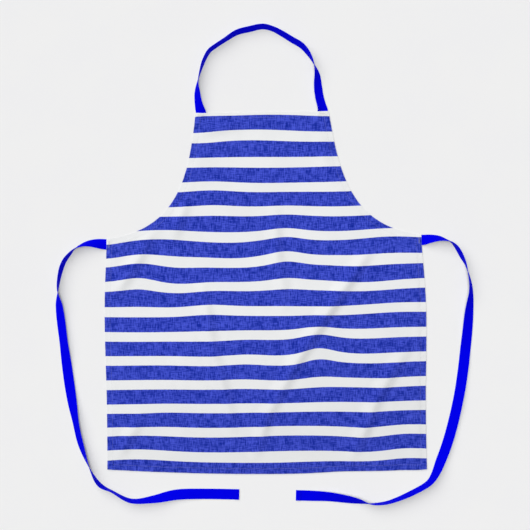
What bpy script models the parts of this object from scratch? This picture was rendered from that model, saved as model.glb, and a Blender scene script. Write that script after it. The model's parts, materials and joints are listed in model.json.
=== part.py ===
"""A striped bib apron with a neck strap and two waist ties, laid out flat.

The apron lies on its back: its face looks up (+Z), the neck is towards +Y and the table is z = 0.
The origin is the middle of the bottom hem. Everything is in metres.

The cloth is one thin sheet whose edges are turned to the back, so each panel is a sheet with a
thicker rim below it. The tape ends are caught inside that rim. Cloth and tape bend anywhere, so
each is divided at the places where it folds: the bib from the skirt at the waist, and each tape
where it leaves the hem. Each tie is divided once more where the tape stands on its edge.
"""

import bmesh
import bpy
import math
from mathutils import Matrix, Vector

# The cut of the cloth
APRON_LENGTH = 0.690
HEM_HALF_WIDTH = 0.3045
HEM_DROP = 0.0095               # the bottom hem's middle hangs this far below its corners
WAIST_HALF_WIDTH = 0.300
WAIST_HEIGHT = 0.451
BIB_HALF_WIDTH = 0.127
ARMHOLE_TOP_HANDLE = (0.140, 0.586)
ARMHOLE_WAIST_HANDLE = (0.155, 0.467)
HEM_STEPS = 6                   # straight steps along half of the bottom hem
ARMHOLE_STEPS = 16

# Cloth, tape and thread
CLOTH = 0.0004
HEM_WIDTH = 0.012
HEM_THICKNESS = 3 * CLOTH       # the cloth is folded twice, so its edge is three layers
TAPE_WIDTH = 0.020
TAPE_THICKNESS = 0.0010
THREAD_RADIUS = 0.0003
CLEARANCE = 0.0003
SEAM_INSET = 0.0105             # from the cloth's edge to its line of stitches
SEAM_STOP = 0.0015              # a seam stops this far from the one it meets

# Tape ends caught in the hem
TAIL_DEPTH = 0.0075             # length of tape inside the hem
TAIL_REACH = 0.0015             # length of the same piece outside it
NECK_STRAP_X = 0.115
TIE_Y = 0.4395
BULGE_WIDTH = 0.023
BULGE_DEPTH = 0.0085
BULGE_STEP_IN = 0.0005
BULGE_ROUNDING = 0.0005
POCKET_FLOOR = CLOTH
POCKET_ROOF = POCKET_FLOOR + 2 * CLEARANCE + TAPE_THICKNESS
BULGE_TOP = POCKET_ROOF + CLOTH
TAIL_Z = (POCKET_FLOOR + POCKET_ROOF) / 2
POCKET_MOUTH = 0.003            # the pocket's cut runs on this far past the edge

# Places that fold
FOLD_HEIGHT = 0.475
FOLD_GAP = 0.005
FOLD_Z = HEM_THICKNESS / 2
TAPE_GAP = 0.004
TAPE_LEAD = 0.012               # a tape runs straight for this far past its fold
THREAD_FOLD_GAP = 0.007         # stitches stop this far from the waist fold
SWING_GAP = 0.003

# How the tapes lie: x, y and the roll of the tape in degrees. At roll 0 the tape's own face is up,
# and a positive roll leans that face outwards, away from the middle of the apron.
NECK_STRAP_LAY = (
    (-0.120, 0.727, 58), (-0.121, 0.746, 90), (-0.116, 0.773, 100),
    (-0.110, 0.791, 108), (-0.100, 0.809, 112), (-0.072, 0.826, 110), (-0.046, 0.841, 116),
    (0.000, 0.852, 121), (0.022, 0.848, 112), (0.059, 0.827, 120), (0.079, 0.815, 125),
    (0.089, 0.800, 110), (0.099, 0.779, 90), (0.105, 0.754, 60), (0.110, 0.728, 44),
)
LEFT_TIE_LAY = (
    (-0.332, 0.442, 52), (-0.346, 0.441, 74), (-0.360, 0.436, 90), (-0.381, 0.414, 107),
    (-0.391, 0.385, 103), (-0.393, 0.357, 90), (-0.391, 0.325, 56), (-0.384, 0.251, 41),
    (-0.373, 0.175, 28), (-0.364, 0.112, 56), (-0.354, 0.064, 64), (-0.336, 0.014, 89),
    (-0.319, -0.016, 110), (-0.296, -0.031, 95), (-0.260, -0.047, 110), (-0.218, -0.045, 132),
    (-0.173, -0.038, 167), (-0.125, -0.037, 179), (-0.055, -0.039, 180),
)
RIGHT_TIE_LAY = (
    (0.332, 0.443, 46), (0.344, 0.441, 70), (0.356, 0.436, 90), (0.372, 0.416, 104),
    (0.384, 0.390, 90), (0.392, 0.350, 73), (0.389, 0.305, 50), (0.384, 0.250, 28),
    (0.372, 0.170, 3), (0.348, 0.068, -12), (0.333, 0.027, -24), (0.312, -0.016, -52),
    (0.283, -0.036, -64), (0.233, -0.057, -74), (0.199, -0.061, -90), (0.170, -0.054, -118),
    (0.119, -0.046, -152), (0.080, -0.043, -180), (0.055, -0.042, -180),
)
LEFT_SWING = Vector((-0.393, 0.357))
RIGHT_SWING = Vector((0.384, 0.390))
TAPE_STEP = 0.008               # distance between two cross-sections of a tape
SPLINE_STEPS = 24               # fine points between two places of a lay

# Stitches
BARTACK_WIDTH = 0.014
BARTACK_DEPTH = 0.004
BARTACK_INSET = 0.0065
BARTACK_LEGS = 6
TIE_END_WIDTH = 0.014
TIE_END_INSET = 0.008

OVERCUT = 0.010                 # how far a cutter runs past what it cuts
MERGE_DISTANCE = 1e-6           # points of a filled curve closer than this become one

# Finishes: colour and roughness
CLOTH_FINISH = ((0.42, 0.47, 0.74), 0.9)
TAPE_FINISH = ((0.01, 0.01, 0.62), 0.75)
WHITE_THREAD_FINISH = ((0.86, 0.87, 0.88), 0.7)
BLUE_THREAD_FINISH = ((0.02, 0.02, 0.55), 0.7)


def empty_scene():
    for item in list(bpy.data.objects):
        bpy.data.objects.remove(item, do_unlink=True)


def new_collection(name):
    collection = bpy.data.collections.new(name)
    bpy.context.scene.collection.children.link(collection)
    return collection


def material(name, finish):
    colour, roughness = finish
    made = bpy.data.materials.new(name)
    made.use_nodes = True
    shader = made.node_tree.nodes["Principled BSDF"]
    shader.inputs["Base Color"].default_value = (*colour, 1.0)
    shader.inputs["Roughness"].default_value = roughness
    shader.inputs["Metallic"].default_value = 0.0
    return made


# Outlines

def bezier(start, first, second, end, steps):
    points = []
    for step in range(1, steps + 1):
        t = step / steps
        weights = ((1 - t) ** 3, 3 * (1 - t) ** 2 * t, 3 * (1 - t) * t * t, t ** 3)
        ends = (start, first, second, end)
        points.append(tuple(sum(w * p[axis] for w, p in zip(weights, ends)) for axis in (0, 1)))
    return points


def right_edge():
    """The right half of the cut, from the middle of the bottom hem to the bib's top corner."""
    hem = []
    for step in range(HEM_STEPS + 1):
        share = step / HEM_STEPS
        hem.append((HEM_HALF_WIDTH * share, HEM_DROP * share ** 2))
    waist = (WAIST_HALF_WIDTH, WAIST_HEIGHT)
    top = (BIB_HALF_WIDTH, APRON_LENGTH)
    return hem + [waist] + bezier(waist, ARMHOLE_WAIST_HANDLE, ARMHOLE_TOP_HANDLE, top, ARMHOLE_STEPS)


def mirrored(points):
    return [(-point[0], *point[1:]) for point in points]


def inset(points, distance):
    """A closed outline, anticlockwise, moved inwards."""
    moved = []
    count = len(points)
    for index, point in enumerate(points):
        here = Vector(point)
        before = (here - Vector(points[index - 1])).normalized()
        after = (Vector(points[(index + 1) % count]) - here).normalized()
        normal = Vector((-before.y, before.x)) + Vector((-after.y, after.x))
        moved.append(tuple(here + normal * (2 * distance / normal.length_squared)))
    return moved


def trimmed(points, at_start, at_end):
    """An open line, shortened at both ends."""
    line = [Vector(point) for point in points]
    for distance in (at_start, at_end):
        while (line[1] - line[0]).length <= distance:
            distance -= (line[1] - line[0]).length
            line.pop(0)
        line[0] = line[0] + (line[1] - line[0]).normalized() * distance
        line.reverse()
    return [tuple(point) for point in line]


# Solids

def mesh_from_curve(curve_object, name, collection):
    """A closed mesh with the curve's shape. The curve is removed."""
    bpy.context.view_layer.update()
    graph = bpy.context.evaluated_depsgraph_get()
    mesh = bpy.data.meshes.new_from_object(curve_object.evaluated_get(graph))
    place = curve_object.matrix_world.copy()
    bpy.data.curves.remove(curve_object.data)
    mesh.name = name
    body = bmesh.new()
    body.from_mesh(mesh)
    bmesh.ops.remove_doubles(body, verts=body.verts, dist=MERGE_DISTANCE)
    bmesh.ops.recalc_face_normals(body, faces=body.faces)
    body.to_mesh(mesh)
    body.free()
    made = bpy.data.objects.new(name, mesh)
    made.matrix_world = place
    collection.objects.link(made)
    return made


def flat_piece(name, points, bottom, top, collection):
    """A flat outline with a bottom and a top height."""
    curve = bpy.data.curves.new(name, "CURVE")
    curve.dimensions = "2D"
    curve.fill_mode = "BOTH"
    curve.extrude = (top - bottom) / 2
    spline = curve.splines.new("POLY")
    spline.points.add(len(points) - 1)
    for point, place in zip(spline.points, points):
        point.co = (*place, 0, 1)
    spline.use_cyclic_u = True
    shape = bpy.data.objects.new(name, curve)
    shape.location.z = (bottom + top) / 2
    collection.objects.link(shape)
    return mesh_from_curve(shape, name, collection)


def box(name, low, high, collection):
    low = Vector(low)
    high = Vector(high)
    mesh = bpy.data.meshes.new(name)
    body = bmesh.new()
    bmesh.ops.create_cube(body, size=1, matrix=Matrix.Diagonal((*(high - low), 1)))
    body.to_mesh(mesh)
    body.free()
    made = bpy.data.objects.new(name, mesh)
    made.location = (low + high) / 2
    collection.objects.link(made)
    return made


def as_cutter(shape):
    shape.hide_render = True
    shape.display_type = "WIRE"
    return shape


def combine(target, cutter, operation):
    step = target.modifiers.new(cutter.name, "BOOLEAN")
    step.operation = operation
    step.object = cutter


def thread(name, points, collection):
    """One run of sewing thread through these points."""
    curve = bpy.data.curves.new(name, "CURVE")
    curve.dimensions = "3D"
    curve.bevel_depth = THREAD_RADIUS
    curve.bevel_resolution = 0
    curve.use_fill_caps = True
    spline = curve.splines.new("POLY")
    spline.points.add(len(points) - 1)
    for point, place in zip(spline.points, points):
        point.co = (*place, 1)
    shape = bpy.data.objects.new(name, curve)
    collection.objects.link(shape)
    return mesh_from_curve(shape, name, collection)


# The tape ends and the pockets that hold them

class TapeEnd:
    """A tape that leaves an edge at a place, heading out along a flat direction."""

    def __init__(self, name, place, heading):
        self.name = name
        self.place = Vector(place)
        self.heading = Vector(heading)
        self.across = Vector((-self.heading.y, self.heading.x))

    def at(self, out, side, height):
        spot = self.place + self.heading * out + self.across * side
        return Vector((spot.x, spot.y, height))

    def axis(self):
        """Where the tape folds: a point in the middle of the gap outside the hem."""
        return self.at(TAIL_REACH + TAPE_GAP / 2, 0, TAIL_Z)

    def block(self, name, width, inner, outer, bottom, top, collection):
        one = self.at(inner, -width / 2, bottom)
        other = self.at(outer, width / 2, top)
        low = [min(pair) for pair in zip(one, other)]
        high = [max(pair) for pair in zip(one, other)]
        return box(self.name + "_" + name, low, high, collection)


def tape_ends():
    tie_x = WAIST_HALF_WIDTH
    return {
        "neck_left": TapeEnd("neck_left", (-NECK_STRAP_X, APRON_LENGTH), (0, 1)),
        "neck_right": TapeEnd("neck_right", (NECK_STRAP_X, APRON_LENGTH), (0, 1)),
        "tie_left": TapeEnd("tie_left", (-tie_x, TIE_Y), (-1, 0)),
        "tie_right": TapeEnd("tie_right", (tie_x, TIE_Y), (1, 0)),
    }


def bulge(end, collection):
    """The hem's face rises over a tape end."""
    low = POCKET_FLOOR
    made = end.block("bulge", BULGE_WIDTH, -BULGE_DEPTH, -BULGE_STEP_IN, low, BULGE_TOP, collection)
    rounding = made.modifiers.new("rounding", "BEVEL")
    rounding.width = BULGE_ROUNDING
    rounding.segments = 1
    return as_cutter(made)


def pocket(end, collection):
    width = TAPE_WIDTH + 2 * CLEARANCE
    depth = TAIL_DEPTH + CLEARANCE
    made = end.block("pocket", width, -depth, POCKET_MOUTH, POCKET_FLOOR, POCKET_ROOF, collection)
    return as_cutter(made)


def tape_tail(end, name, collection):
    low = TAIL_Z - TAPE_THICKNESS / 2
    high = TAIL_Z + TAPE_THICKNESS / 2
    made = end.block("tail", TAPE_WIDTH, -TAIL_DEPTH, TAIL_REACH, low, high, collection)
    made.name = name
    return made


def bartack(end, name, collection):
    """A zigzag of thread through the hem and the tape end."""
    height = BULGE_TOP + CLEARANCE + THREAD_RADIUS
    points = []
    for leg in range(BARTACK_LEGS + 1):
        side = (leg / BARTACK_LEGS - 0.5) * BARTACK_WIDTH
        out = -BARTACK_INSET + BARTACK_DEPTH * (leg % 2)
        points.append(end.at(out, side, height))
    return thread(name, points, collection)


# Cloth panels

def panel(name, outline, ends, cut_low, cut_high, shapes, cutters):
    """The part of the cloth outside the heights cut_low to cut_high, with its hems and pockets."""
    cloth = flat_piece(name, outline, 0, HEM_THICKNESS, shapes)
    under = flat_piece(name + "_inside", inset(outline, HEM_WIDTH), -OVERCUT, HEM_THICKNESS - CLOTH, cutters)
    combine(cloth, as_cutter(under), "DIFFERENCE")
    for end in ends:
        combine(cloth, bulge(end, cutters), "UNION")
        combine(cloth, pocket(end, cutters), "DIFFERENCE")
    reach = HEM_HALF_WIDTH + OVERCUT
    low = (-reach, cut_low, -OVERCUT)
    high = (reach, cut_high, OVERCUT)
    combine(cloth, as_cutter(box(name + "_cut", low, high, cutters)), "DIFFERENCE")
    return cloth


# Seams

def seam_lines():
    """The seams on the right half and the two that cross the middle, as flat lines."""
    right = right_edge()
    outline = right + mirrored(right[:0:-1])
    seam = inset(outline, SEAM_INSET)
    corner = HEM_STEPS
    waist = corner + 1
    top = waist + ARMHOLE_STEPS
    armhole = seam[waist:top + 1]
    armhole = trimmed(armhole, 0, SEAM_STOP)
    low_end = FOLD_HEIGHT - THREAD_FOLD_GAP
    high_end = FOLD_HEIGHT + THREAD_FOLD_GAP
    return {
        "bottom": mirrored(seam[corner:0:-1]) + seam[:corner + 1],
        "side": trimmed([seam[corner], seam[waist]], SEAM_STOP, SEAM_STOP),
        "waist": [point for point in armhole if point[1] < low_end],
        "armhole": [point for point in armhole if point[1] > high_end],
        "top": [seam[top], mirrored([seam[top]])[0]],
    }


def seam(name, line, collection):
    height = HEM_THICKNESS + CLEARANCE + THREAD_RADIUS
    return thread(name, [(*point, height) for point in line], collection)


# Tapes

def smooth_lay(lay):
    """Many fine points (x, y, roll) along a smooth line through the places of a lay."""
    places = [Vector(place) for place in lay]
    gaps = [(b - a).xy.length for a, b in zip(places, places[1:])]
    slopes = []
    for index in range(len(places)):
        before = max(index - 1, 0)
        after = min(index + 1, len(places) - 1)
        slopes.append((places[after] - places[before]) / sum(gaps[before:after]))
    points = []
    for index, gap in enumerate(gaps):
        for step in range(SPLINE_STEPS):
            t = step / SPLINE_STEPS
            start_share = 2 * t ** 3 - 3 * t ** 2 + 1
            start_pull = (t ** 3 - 2 * t ** 2 + t) * gap
            end_pull = (t ** 3 - t ** 2) * gap
            point = places[index] * start_share + places[index + 1] * (1 - start_share)
            points.append(point + slopes[index] * start_pull + slopes[index + 1] * end_pull)
    return points + [places[-1]]


def stations(fine):
    """Evenly spaced cross-sections along fine points, TAPE_STEP apart at most."""
    along = [0.0]
    for a, b in zip(fine, fine[1:]):
        along.append(along[-1] + (b - a).xy.length)
    count = math.ceil(along[-1] / TAPE_STEP)
    picked = []
    index = 0
    for number in range(count + 1):
        distance = along[-1] * number / count
        while index < len(along) - 2 and along[index + 1] < distance:
            index += 1
        share = (distance - along[index]) / (along[index + 1] - along[index])
        picked.append(fine[index].lerp(fine[index + 1], share))
    return picked


def resting_height(roll, root_share):
    """Height of the tape's middle when its lower edge rests on the table, or at a root its tail's height."""
    lean = math.radians(roll)
    rest = (TAPE_WIDTH * abs(math.sin(lean)) + TAPE_THICKNESS * abs(math.cos(lean))) / 2
    return rest + (TAIL_Z - rest) * root_share


def tape(name, fine, outward, root_shares, guide, collection):
    """A strip swept along its lay, made solid. outward is +1 if the tape's left is the apron's outside."""
    curve = bpy.data.curves.new(name, "CURVE")
    curve.dimensions = "3D"
    curve.twist_mode = "Z_UP"
    curve.bevel_mode = "OBJECT"
    curve.bevel_object = guide
    points = stations(fine)
    spline = curve.splines.new("POLY")
    spline.points.add(len(points) - 1)
    for index, (point, place) in enumerate(zip(spline.points, points)):
        root_share = {0: root_shares[0], len(points) - 1: root_shares[1]}.get(index, 0)
        point.co = (place.x, place.y, resting_height(place.z, root_share), 1)
        point.tilt = -math.radians(place.z) * outward
    shape = bpy.data.objects.new(name, curve)
    collection.objects.link(shape)
    strip = mesh_from_curve(shape, name, collection)
    triangles = strip.modifiers.new("triangles", "TRIANGULATE")
    triangles.quad_method = "FIXED"     # the same diagonal on both faces keeps the twisted tape's thickness
    solid = strip.modifiers.new("thickness", "SOLIDIFY")
    solid.thickness = TAPE_THICKNESS
    solid.offset = 0
    return strip


def tape_section(collection):
    """The line across the tape that is swept along its lay."""
    curve = bpy.data.curves.new("tape_section", "CURVE")
    curve.dimensions = "2D"
    spline = curve.splines.new("POLY")
    spline.points.add(1)
    for point, x in zip(spline.points, (-TAPE_WIDTH / 2, TAPE_WIDTH / 2)):
        point.co = (x, 0, 0, 1)
    section = bpy.data.objects.new("tape_section", curve)
    collection.objects.link(section)
    return as_cutter(section)


def root_places(end):
    """The flat, straight start of a lay, just past the fold at a tape end."""
    start = TAIL_REACH + TAPE_GAP
    return [(*end.at(out, 0, 0).xy, 0) for out in (start, start + TAPE_LEAD)]


def divide(fine, place):
    """Fine points before and after a place, with the swing gap between them."""
    nearest = min(range(len(fine)), key=lambda index: (fine[index].xy - place).length)
    half = SWING_GAP / 2
    before = [point for point in fine[:nearest] if (point.xy - place).length > half]
    after = [point for point in fine[nearest:] if (point.xy - place).length > half]
    return before, after


def tie_end_thread(name, lay, collection):
    """A line of stitches across the free end of a tie, which lies flat there."""
    end = Vector(lay[-1]).xy
    heading = (end - Vector(lay[-2]).xy).normalized()
    across = Vector((-heading.y, heading.x))
    middle = end - heading * TIE_END_INSET
    height = TAPE_THICKNESS + CLEARANCE + THREAD_RADIUS
    points = []
    for side in (-1, 1):
        place = middle + across * (side * TIE_END_WIDTH / 2)
        points.append((place.x, place.y, height))
    return thread(name, points, collection)


# The whole apron

def joint_empty(name, place, collection):
    made = bpy.data.objects.new(name, None)
    made.location = place
    collection.objects.link(made)
    return made


def attach(pieces, parent, finish):
    """Parents pieces to a joint's empty where they lie, and gives them their finish."""
    for piece in pieces:
        piece.parent = parent
        piece.location = piece.location - parent.location
        piece.data.materials.clear()
        piece.data.materials.append(finish)


def build():
    empty_scene()
    shapes = new_collection("butcher_apron")
    cutters = new_collection("cutters")
    cloth_finish = material("striped_cloth", CLOTH_FINISH)
    tape_finish = material("blue_tape", TAPE_FINISH)
    thread_finish = material("white_thread", WHITE_THREAD_FINISH)
    blue_thread_finish = material("blue_thread", BLUE_THREAD_FINISH)

    ends = tape_ends()
    right = right_edge()
    outline = right + mirrored(right[:0:-1])
    neck_ends = (ends["neck_left"], ends["neck_right"])
    tie_ends = (ends["tie_left"], ends["tie_right"])
    fold_low = FOLD_HEIGHT - FOLD_GAP / 2
    fold_high = FOLD_HEIGHT + FOLD_GAP / 2
    bib_panel = panel("bib_panel", outline, neck_ends, -OVERCUT, fold_high, shapes, cutters)
    skirt_top = APRON_LENGTH + OVERCUT
    skirt_panel = panel("skirt_panel", outline, tie_ends, fold_low, skirt_top, shapes, cutters)

    neck_tails = [
        tape_tail(ends["neck_left"], "neck_strap_left_end", shapes),
        tape_tail(ends["neck_right"], "neck_strap_right_end", shapes),
    ]
    tie_tails = [
        tape_tail(ends["tie_left"], "left_tie_sewn_end", shapes),
        tape_tail(ends["tie_right"], "right_tie_sewn_end", shapes),
    ]

    section = tape_section(cutters)
    neck_lay = [*root_places(ends["neck_left"]), *NECK_STRAP_LAY, *root_places(ends["neck_right"])[::-1]]
    neck_strap = tape("neck_strap", smooth_lay(neck_lay), 1, (1, 1), section, shapes)
    ties = {}
    for side, lay, place, outward in (
        ("left", LEFT_TIE_LAY, LEFT_SWING, -1),
        ("right", RIGHT_TIE_LAY, RIGHT_SWING, 1),
    ):
        whole_lay = [*root_places(ends["tie_" + side]), *lay]
        root_fine, tie_fine = divide(smooth_lay(whole_lay), place)
        root = tape(side + "_tie_root", root_fine, outward, (1, 0), section, shapes)
        tie = tape(side + "_tie", tie_fine, outward, (0, 0), section, shapes)
        ties[side] = (root, tie, tie_end_thread(side + "_tie_end_thread", lay, shapes))

    lines = seam_lines()
    bib_threads = [
        seam("top_hem_thread", lines["top"], shapes),
        seam("left_armhole_thread", mirrored(lines["armhole"]), shapes),
        seam("right_armhole_thread", lines["armhole"], shapes),
        bartack(ends["neck_left"], "neck_strap_left_bartack", shapes),
        bartack(ends["neck_right"], "neck_strap_right_bartack", shapes),
    ]
    skirt_threads = [
        seam("bottom_hem_thread", lines["bottom"], shapes),
        seam("left_side_thread", mirrored(lines["side"]), shapes),
        seam("right_side_thread", lines["side"], shapes),
        seam("left_waist_thread", mirrored(lines["waist"]), shapes),
        seam("right_waist_thread", lines["waist"], shapes),
        bartack(ends["tie_left"], "left_tie_bartack", shapes),
        bartack(ends["tie_right"], "right_tie_bartack", shapes),
    ]

    skirt = joint_empty("skirt", (0, 0, 0), shapes)
    bib = joint_empty("bib", (0, FOLD_HEIGHT, FOLD_Z), shapes)
    neck = joint_empty("neck_loop", (0, ends["neck_left"].axis().y, TAIL_Z), shapes)
    attach([skirt_panel], skirt, cloth_finish)
    attach(tie_tails, skirt, tape_finish)
    attach(skirt_threads, skirt, thread_finish)
    attach([bib_panel], bib, cloth_finish)
    attach(neck_tails, bib, tape_finish)
    attach(bib_threads, bib, thread_finish)
    attach([neck_strap], neck, tape_finish)
    for side, place in (("left", LEFT_SWING), ("right", RIGHT_SWING)):
        root, tie, end_thread = ties[side]
        fold = joint_empty(side + "_tie_fold", ends["tie_" + side].axis(), shapes)
        swing = joint_empty(side + "_tie_swing", (*place, TAPE_WIDTH / 2), shapes)
        attach([root], fold, tape_finish)
        attach([tie], swing, tape_finish)
        attach([end_thread], swing, blue_thread_finish)


build()
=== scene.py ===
"""The looks of a striped bib apron: cloth, stitches and tapes, laid out on a pale table.

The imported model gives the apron's size and the bodies that its pieces move with. The cloth is one sheet
with its edges turned to the back, settled on the table by a short cloth simulation. The tapes are swept
along the way they lie, and every stitch is a piece of thread. Everything is in metres, in the model's frame:
the face looks up (+Z) and the neck is towards +Y.
"""

import json
import math

import bpy
import numpy as np
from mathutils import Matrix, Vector, geometry
from mathutils.kdtree import KDTree


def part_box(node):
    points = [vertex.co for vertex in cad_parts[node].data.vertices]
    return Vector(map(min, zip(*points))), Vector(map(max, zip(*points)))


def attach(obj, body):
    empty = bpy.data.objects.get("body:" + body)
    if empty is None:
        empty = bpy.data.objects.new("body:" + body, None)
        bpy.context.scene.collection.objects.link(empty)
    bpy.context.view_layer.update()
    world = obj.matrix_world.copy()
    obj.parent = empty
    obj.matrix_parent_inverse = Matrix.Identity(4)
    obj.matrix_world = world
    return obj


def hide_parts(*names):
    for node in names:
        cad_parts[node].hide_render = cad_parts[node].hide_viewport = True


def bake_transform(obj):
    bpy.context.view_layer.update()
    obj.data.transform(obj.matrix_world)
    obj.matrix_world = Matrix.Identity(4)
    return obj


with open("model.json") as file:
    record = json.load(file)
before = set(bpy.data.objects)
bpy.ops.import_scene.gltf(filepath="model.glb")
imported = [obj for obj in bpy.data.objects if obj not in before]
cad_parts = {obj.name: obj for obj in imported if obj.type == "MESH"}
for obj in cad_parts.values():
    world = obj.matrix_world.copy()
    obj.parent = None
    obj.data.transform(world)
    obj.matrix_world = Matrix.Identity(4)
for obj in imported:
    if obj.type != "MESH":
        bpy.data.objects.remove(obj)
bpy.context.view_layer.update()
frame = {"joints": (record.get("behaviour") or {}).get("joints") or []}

MM = 0.001


def middle(node):
    low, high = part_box(node)
    return (low + high) / 2


def joint_place(name):
    return next(Vector(joint["pos_m"]) for joint in frame["joints"] if joint["name"] == name)


def colour(red, green, blue):
    """A colour given as it looks on a screen, 0 to 255, as linear light."""
    def linear(value):
        share = value / 255
        return share / 12.92 if share < 0.04045 else ((share + 0.055) / 1.055) ** 2.4
    return (linear(red), linear(green), linear(blue), 1.0)


# The cut of the cloth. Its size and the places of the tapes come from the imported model.
HEM_HALF_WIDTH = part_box("skirt_panel")[1].x
APRON_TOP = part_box("bib_panel")[1].y
NECK_STRAP_X = middle("neck_strap_right_end").x
TIE_Y = middle("right_tie_sewn_end").y
TAIL_Z = middle("right_tie_sewn_end").z
TAIL_LENGTH = 7.5 * MM          # of tape caught inside the hem
WAIST = (0.300, 0.4525)
TIE_RISE = 2.5 * MM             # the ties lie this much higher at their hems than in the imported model
NECK_STRAP_SPREAD = 1.5 * MM    # and the neck strap's left end this much further out
BIB_HALF_WIDTH = 0.127
ARMHOLE_WAIST_HANDLE = (0.155, 0.467)
ARMHOLE_TOP_HANDLE = (0.140, 0.586)
HEM_DROP = 9.5 * MM             # the hem's middle hangs this far below its corners
HEM_TILT = -3.3 * MM            # the right corner lies lower than the left one
HEM_LIFTS = ((145 * MM, 55 * MM, 2.4 * MM), (290 * MM, 24 * MM, -1.8 * MM))     # place, reach, rise
LEFT_BOW = 4.2 * MM             # the sides lie bowed outwards by this much
RIGHT_BOW = 5.9 * MM
BOW_TOP = 2 / 3                 # most of all at this share of their height
ARMHOLE_BOW = 3.0 * MM          # and the right armhole

# Cloth
CLOTH = 0.4 * MM
HEM_WIDTH = 12 * MM
HEM_THICKNESS = 3 * CLOTH
SEAM_INSET = 10.5 * MM
SEAM_DIP = 0.12 * MM
EDGE_STEP = 2.2 * MM            # between points along the cloth's edge
GRID_STEP = 4.5 * MM            # between points inside the hems
OUTLINE_STEPS = 200             # of each side, before its points are spread evenly
CORNER_EASE = 60 * MM           # an inner ring slides along its side over this length to meet its neighbour
RING_INSETS = [inset * MM for inset in (
    0, 0.08, 0.3, 0.6, 1.6, 3.2, 4.8, 6.4, 8.0, 9.3, 10.0, 10.5, 11.0, 11.4, 11.8, 12.0, 12.08, 12.8, 14.2)]
SEAM_RING = RING_INSETS.index(SEAM_INSET)
FOOT_RING = RING_INSETS.index(12.08 * MM)       # the first ring inside the turned edge
EDGE_RADIUS = HEM_THICKNESS / 2
TURN_RADIUS = 0.6 * MM
RIM_EASE = 24 * MM              # the cloth comes down from its thick hem over this length
FOLDS_START = -6 * MM           # the folds grow from nothing to their full height between these insets
FOLDS_FULL = 34 * MM
ROPING = 0.07 * MM
LOWEST_FACE = CLOTH * 1.5

# Stripes: pitch and blue width, and the top of the first one
STRIPE_PITCH = 46.8 * MM
STRIPE_BLUE = 28.4 * MM
STRIPE_TOP = 679.5 * MM
STRIPE_BLUR = 0.35 * MM
STRIPE_STRAY = 0.8 * MM         # yarns stray across a stripe's edge by this much

# Places where the cloth is nudged on the table, so that its stripes wave: x, y, reach in x and y, amount
NUDGES = [tuple(value * MM for value in row) for row in (
    (-20, 662, 75, 34, 6.0), (-112, 676, 30, 14, 2.6), (-112, 642, 26, 20, -2.2), (45, 682, 45, 14, 1.5),
    (30, 565, 80, 28, -3.0), (-97, 530, 36, 30, 4.2), (150, 470, 50, 22, -3.0), (-195, 450, 46, 26, 5.4),
    (42, 424, 27, 45, 8.6), (-5, 430, 24, 20, 2.0), (-60, 408, 70, 42, -5.0), (238, 442, 46, 18, 5.4),
    (-240, 383, 30, 30, 7.8), (-152, 362, 40, 30, -4.8), (-110, 325, 34, 34, 4.2), (195, 372, 52, 30, -7.6),
    (220, 392, 36, 18, 2.0), (100, 314, 56, 22, -4.6), (101, 244, 26, 36, 10.0), (192, 236, 36, 46, -2.4),
    (26, 196, 46, 40, -5.0), (-108, 225, 46, 52, -3.8), (-222, 284, 70, 44, -3.0), (228, 176, 34, 30, -2.0),
    (192, 66, 34, 40, -3.6), (-258, 46, 66, 42, 8.4), (268, 46, 34, 44, 3.6), (40, 78, 60, 26, 2.4),
    (-200, 112, 50, 18, 2.0), (-10, 300, 60, 34, -2.4), (10, 20, 70, 18, -2.6), (-300, 438, 26, 24, -4.4),
    (80, 636, 60, 16, -1.6), (140, 525, 40, 24, -1.8), (-36, 225, 30, 40, 1.6), (115, 295, 30, 26, -1.6),
    (250, 320, 40, 26, 1.6), (-240, 108, 28, 18, -2.2), (-120, 405, 30, 22, 1.6), (30, 44, 70, 12, 1.3),
)]

# Soft folds in the cloth: start, end, half width, height
FOLDS = [tuple(value * MM for value in row) for row in (
    (200, 424, 112, 300, 15, 8.4), (128, 322, 48, 200, 16, 9.4), (58, 214, -4, 104, 16, 7.6),
    (2, 118, -22, 36, 15, 6.0), (264, 230, 206, 141, 16, 7.4), (214, 152, 166, 36, 16, 7.8),
    (20, 498, 24, 400, 15, 6.0), (24, 410, 38, 325, 15, 5.2), (-214, 470, -246, 400, 14, 6.0),
    (-244, 410, -284, 348, 14, 6.0), (-288, 426, -298, 396, 10, 3.2), (-148, 528, -174, 450, 15, 6.0),
    (-118, 354, -102, 230, 15, 6.2), (-102, 240, -66, 94, 15, 6.2), (-244, 106, -280, 44, 14, 6.0),
    (-122, 652, -44, 668, 11, 3.6), (-116, 566, -94, 500, 18, 1.8), (106, 650, 128, 560, 14, 3.0),
    (-30, 300, -24, 160, 20, 1.8), (-180, 250, -160, 150, 20, 1.8), (84, 500, 150, 440, 16, 2.0),
)]

# The sheet that is settled on the table
SETTLE_STEP = 7 * MM
SETTLE_FRAMES = 24
SETTLE_LIFT = 1.05              # the folds start this much higher than they are drawn
SETTLE_CEILING = 11 * MM
SETTLE_CLOTH = {
    "quality": 8, "mass": 0.1, "tension_stiffness": 80, "compression_stiffness": 80,
    "shear_stiffness": 40, "bending_stiffness": 10,
}

# Tapes
TAPE_WIDTH = 20 * MM
TAPE_THICKNESS = 1.0 * MM
TAPE_STEP = 2.0 * MM
SPLINE_STEPS = 24
ROOT_EASE = 26 * MM             # a tape comes down from its hem to the table over this length
SWING_REACH = 13 * MM           # reach on each side of a tie's swing, from which the cut between its pieces is set
TIE_CUT = SWING_REACH * 1.35    # and its two pieces meet this far before it
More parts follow.
